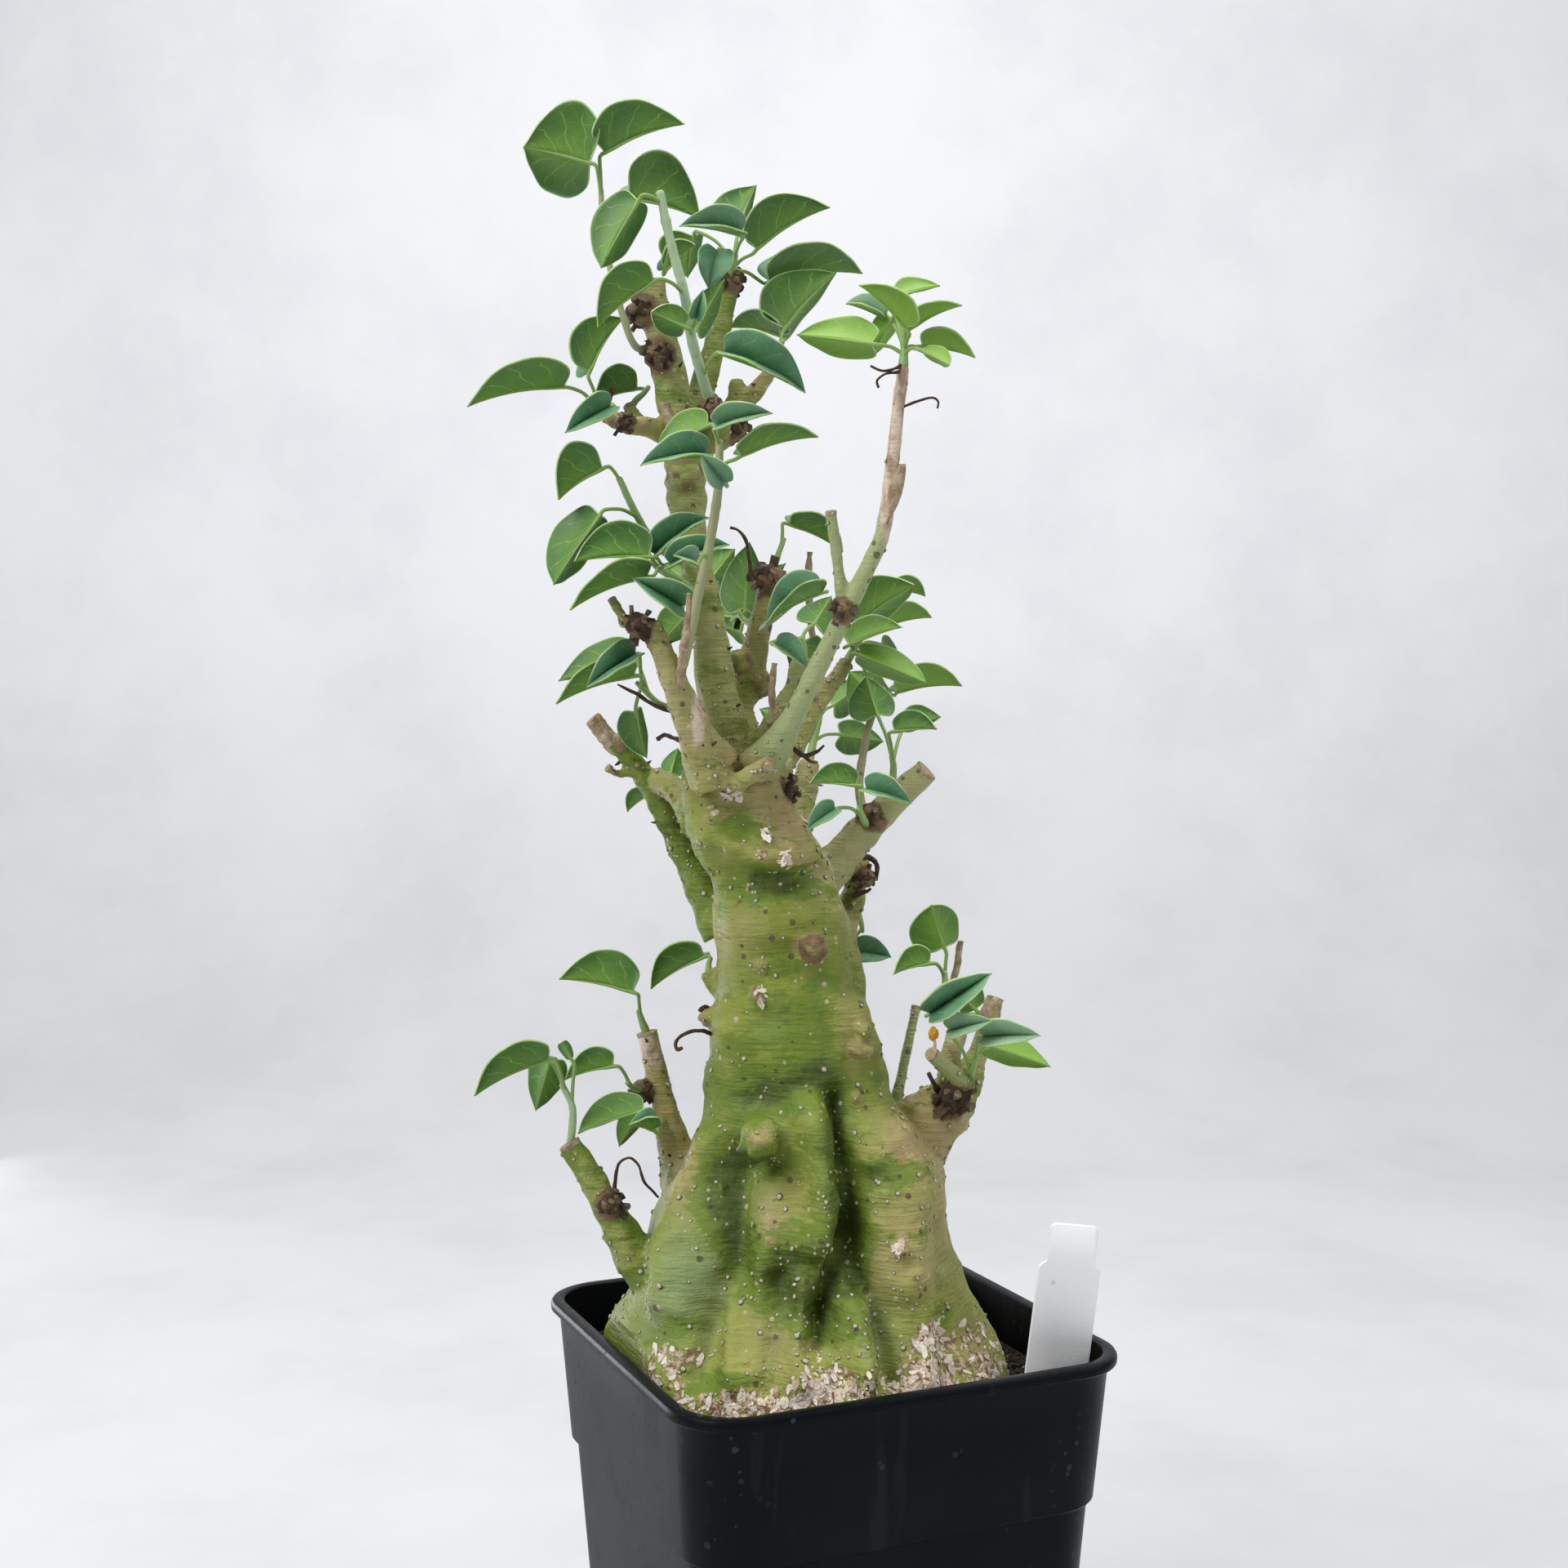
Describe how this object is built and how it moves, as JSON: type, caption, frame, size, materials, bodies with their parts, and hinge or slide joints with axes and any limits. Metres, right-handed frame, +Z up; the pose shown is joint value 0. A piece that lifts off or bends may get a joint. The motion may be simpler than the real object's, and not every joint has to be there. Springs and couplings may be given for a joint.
{
  "type": "potted adenia",
  "caption": "Swollen green caudex with cut-back branches and leafy shoots, standing in a square black nursery pot with a blank plant label.",
  "frame": {"origin": "centre of the pot's flat underside", "axes": "+Z up along the plant; X and Y along the pot's sides"},
  "size_m": [0.1493, 0.1348, 0.439],
  "materials": {
    "skin": "matt green bark with pale warts",
    "leaf": "smooth, slightly waxy leaf",
    "pot": "black satin polypropylene",
    "soil": "loose dark potting mix",
    "label": "smooth white plastic"
  },
  "bodies": {
    "root": {"caudex": "skin", "label": "label", "pot": "pot", "shoot_back_arm": "leaf", "shoot_back_left": "leaf", "shoot_back_right": "leaf", "shoot_center_back": "leaf", "shoot_center_front": "leaf", "shoot_fork_right": "leaf", "shoot_fork_top": "leaf", "shoot_front": "leaf", "shoot_green_stem": "leaf", "shoot_knob_top": "leaf", "shoot_left_arm": "leaf", "shoot_left_cluster": "leaf", "shoot_left_green": "leaf", "shoot_left_high": "leaf", "shoot_left_low_end": "leaf", "shoot_left_low_knob": "leaf", "shoot_left_low_side": "leaf", "shoot_left_low_top": "leaf", "shoot_left_mid": "leaf", "shoot_left_mid_spur": "leaf", "shoot_left_twig": "leaf", "shoot_long_top": "leaf", "shoot_mid_stem": "leaf", "shoot_right_arm": "leaf", "shoot_right_back": "leaf", "shoot_right_low_side": "leaf", "shoot_right_low_tall": "leaf", "shoot_right_stem": "leaf", "shoot_right_twig": "leaf", "shoot_top_left": "leaf", "soil": "soil"}
  },
  "joints": []
}
